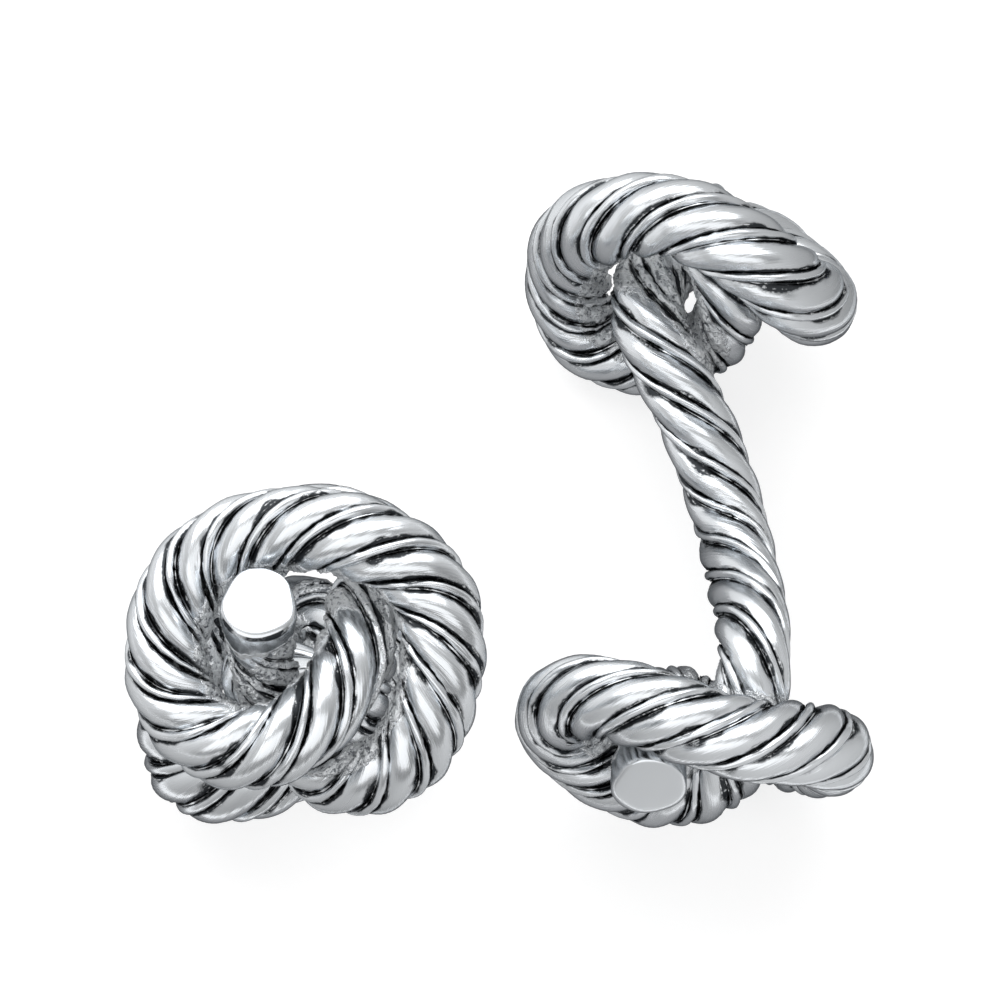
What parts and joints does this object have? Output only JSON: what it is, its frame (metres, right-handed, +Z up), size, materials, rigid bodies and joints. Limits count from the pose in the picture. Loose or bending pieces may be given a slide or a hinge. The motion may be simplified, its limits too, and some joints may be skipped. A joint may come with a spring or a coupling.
{
  "type": "cufflinks",
  "caption": "Pair of knot cufflinks of polished silver wire rope: a rope knotted at both ends of a short post, one standing and one lying.",
  "frame": {"origin": "centre of the pair's box on the surface it rests on", "axes": "+X to the right and -Y towards the viewer of the picture, +Z up from the surface; the standing cufflink is on the -X side"},
  "size_m": [0.0318, 0.0332, 0.0299],
  "materials": {
    "polished_silver": "bright polished silver wire with soft grey reflections",
    "oxidised_silver": "dark oxidised silver, rough and mottled, in the grooves between the wires",
    "disc_silver": "flat mirror-polished silver with a bevelled edge and a short rim"
  },
  "bodies": {
    "root": {"standing_thick_wire_1": "polished_silver", "standing_thick_wire_2": "polished_silver", "standing_thick_wire_3": "polished_silver", "standing_thick_wire_4": "polished_silver", "standing_thin_wire_1": "polished_silver", "standing_thin_wire_2": "polished_silver", "standing_thin_wire_3": "polished_silver", "standing_thin_wire_4": "polished_silver", "standing_core_wire": "oxidised_silver", "standing_lower_end_disc": "disc_silver", "standing_upper_end_disc": "disc_silver", "lying_thick_wire_1": "polished_silver", "lying_thick_wire_2": "polished_silver", "lying_thick_wire_3": "polished_silver", "lying_thick_wire_4": "polished_silver", "lying_thin_wire_1": "polished_silver", "lying_thin_wire_2": "polished_silver", "lying_thin_wire_3": "polished_silver", "lying_thin_wire_4": "polished_silver", "lying_core_wire": "oxidised_silver", "lying_rear_end_disc": "disc_silver", "lying_front_end_disc": "disc_silver"}
  },
  "joints": []
}
